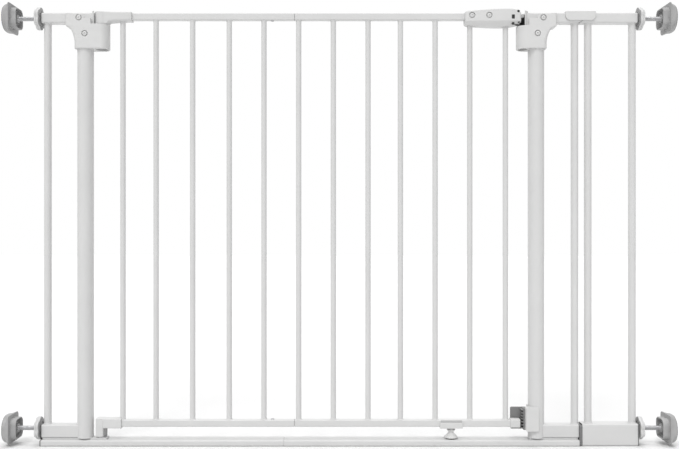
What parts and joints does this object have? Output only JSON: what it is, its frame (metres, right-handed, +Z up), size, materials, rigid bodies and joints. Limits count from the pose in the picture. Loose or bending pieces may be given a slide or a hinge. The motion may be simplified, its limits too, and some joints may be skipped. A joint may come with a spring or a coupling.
{
  "type": "safety gate",
  "caption": "Pressure-fit safety gate for a doorway: a U-shaped frame with a low threshold, a lift-and-swing barred door, a width extension and screw-out wall pads.",
  "frame": {"origin": "on the floor under the gate, midway between the wall faces of the four pads and in the middle of its thickness", "axes": "+X along the gate's width from the hinge side to the latch side, +Z up, -Y towards the side the door opens to"},
  "size_m": [1.166, 0.05, 0.7689],
  "materials": {
    "painted_steel": "white powder coat, fine texture, satin",
    "moulded_plastic": "white moulded plastic, fine grain",
    "black_plastic": "black moulded plastic",
    "zinc_steel": "bright zinc plate",
    "pad_rubber": "grey moulded rubber"
  },
  "bodies": {
    "frame": {"threshold_left": "painted_steel", "threshold_right": "painted_steel", "threshold_joiner": "zinc_steel", "hinge_column": "painted_steel", "latch_column": "painted_steel", "frame_bar_left": "painted_steel", "frame_bar_right": "painted_steel", "top_rail_left": "painted_steel", "top_rail_right": "painted_steel", "bottom_rail_left": "painted_steel", "bottom_rail_right": "painted_steel", "hinge_bracket": "moulded_plastic", "latch_bracket": "moulded_plastic", "latch_catch_lining": "black_plastic", "bottom_stop": "moulded_plastic", "bottom_pivot": "zinc_steel", "extension_top_rail": "painted_steel", "extension_bottom_rail": "painted_steel", "extension_bar_inner": "painted_steel", "extension_bar_outer": "painted_steel", "extension_joint_plate": "black_plastic", "extension_clip": "moulded_plastic"},
    "hinge_pin": {"top_hinge_pin": "zinc_steel"},
    "door": {"door_top_rail_left": "painted_steel", "door_top_rail_right": "painted_steel", "door_bottom_rail_left": "painted_steel", "door_bottom_rail_right": "painted_steel", "door_bar_01": "painted_steel", "door_bar_02": "painted_steel", "door_bar_03": "painted_steel", "door_bar_04": "painted_steel", "door_bar_05": "painted_steel", "door_bar_06": "painted_steel", "door_bar_07": "painted_steel", "door_bar_08": "painted_steel", "door_bar_09": "painted_steel", "door_bar_10": "painted_steel", "door_bar_11": "painted_steel", "door_bar_12": "painted_steel", "door_end_cap": "moulded_plastic", "hinge_cap": "moulded_plastic", "hinge_elbow": "moulded_plastic", "handle_front_shell": "moulded_plastic", "handle_rear_shell": "moulded_plastic", "latch_spring": "zinc_steel", "foot_clamp": "moulded_plastic"},
    "latch": {"latch_slider": "moulded_plastic"},
    "foot": {"foot_screw": "moulded_plastic"},
    "nut_top_left": {"adjusting_nut_top_left": "moulded_plastic"},
    "nut_bottom_left": {"adjusting_nut_bottom_left": "moulded_plastic"},
    "nut_top_right": {"adjusting_nut_top_right": "moulded_plastic"},
    "nut_bottom_right": {"adjusting_nut_bottom_right": "moulded_plastic"},
    "spindle_top_left": {"spindle_top_left": "zinc_steel", "wall_pad_top_left": "pad_rubber"},
    "spindle_bottom_left": {"spindle_bottom_left": "zinc_steel", "wall_pad_bottom_left": "pad_rubber"},
    "spindle_top_right": {"spindle_top_right": "zinc_steel", "wall_pad_top_right": "pad_rubber"},
    "spindle_bottom_right": {"spindle_bottom_right": "zinc_steel", "wall_pad_bottom_right": "pad_rubber"}
  },
  "joints": [
    {"name": "door_lift", "type": "slide", "parent": "frame", "child": "hinge_pin", "axis": [0, 0, 1], "range_m": [0, 0.008]},
    {"name": "door_swing", "type": "hinge", "parent": "hinge_pin", "child": "door", "pos_m": [-0.4147, 0, 0], "axis": [0, 0, -1], "range_deg": [0, 90]},
    {"name": "latch_slide", "type": "slide", "parent": "door", "child": "latch", "axis": [-1, 0, 0], "range_m": [0, 0.006], "stiffness_N_per_m": 300, "springref_m": -0.01, "deforming": ["latch_spring"]},
    {"name": "foot_height", "type": "slide", "parent": "door", "child": "foot", "axis": [0, 0, 1], "range_m": [-0.0015, 0.002]},
    {"name": "nut_turn_top_left", "type": "hinge", "parent": "frame", "child": "nut_top_left", "pos_m": [-0.5206, 0, 0.7442], "axis": [1, 0, 0], "range_deg": [-2610, 3690]},
    {"name": "spindle_slide_top_left", "type": "slide", "parent": "frame", "child": "spindle_top_left", "axis": [-1, 0, 0], "range_m": [-0.014, 0.02]},
    {"name": "nut_turn_bottom_left", "type": "hinge", "parent": "frame", "child": "nut_bottom_left", "pos_m": [-0.5206, 0, 0.029], "axis": [1, 0, 0], "range_deg": [-2610, 3690]},
    {"name": "spindle_slide_bottom_left", "type": "slide", "parent": "frame", "child": "spindle_bottom_left", "axis": [-1, 0, 0], "range_m": [-0.014, 0.02]},
    {"name": "nut_turn_top_right", "type": "hinge", "parent": "frame", "child": "nut_top_right", "pos_m": [0.5206, 0, 0.7442], "axis": [-1, 0, 0], "range_deg": [-2610, 3690]},
    {"name": "spindle_slide_top_right", "type": "slide", "parent": "frame", "child": "spindle_top_right", "axis": [1, 0, 0], "range_m": [-0.014, 0.02]},
    {"name": "nut_turn_bottom_right", "type": "hinge", "parent": "frame", "child": "nut_bottom_right", "pos_m": [0.5206, 0, 0.029], "axis": [-1, 0, 0], "range_deg": [-2610, 3690]},
    {"name": "spindle_slide_bottom_right", "type": "slide", "parent": "frame", "child": "spindle_bottom_right", "axis": [1, 0, 0], "range_m": [-0.014, 0.02]}
  ],
  "couplings": [
    {"joint": "nut_turn_top_left", "follows": "spindle_slide_top_left", "rad_per_m": 3141.6},
    {"joint": "nut_turn_bottom_left", "follows": "spindle_slide_bottom_left", "rad_per_m": 3141.6},
    {"joint": "nut_turn_top_right", "follows": "spindle_slide_top_right", "rad_per_m": 3141.6},
    {"joint": "nut_turn_bottom_right", "follows": "spindle_slide_bottom_right", "rad_per_m": 3141.6}
  ]
}
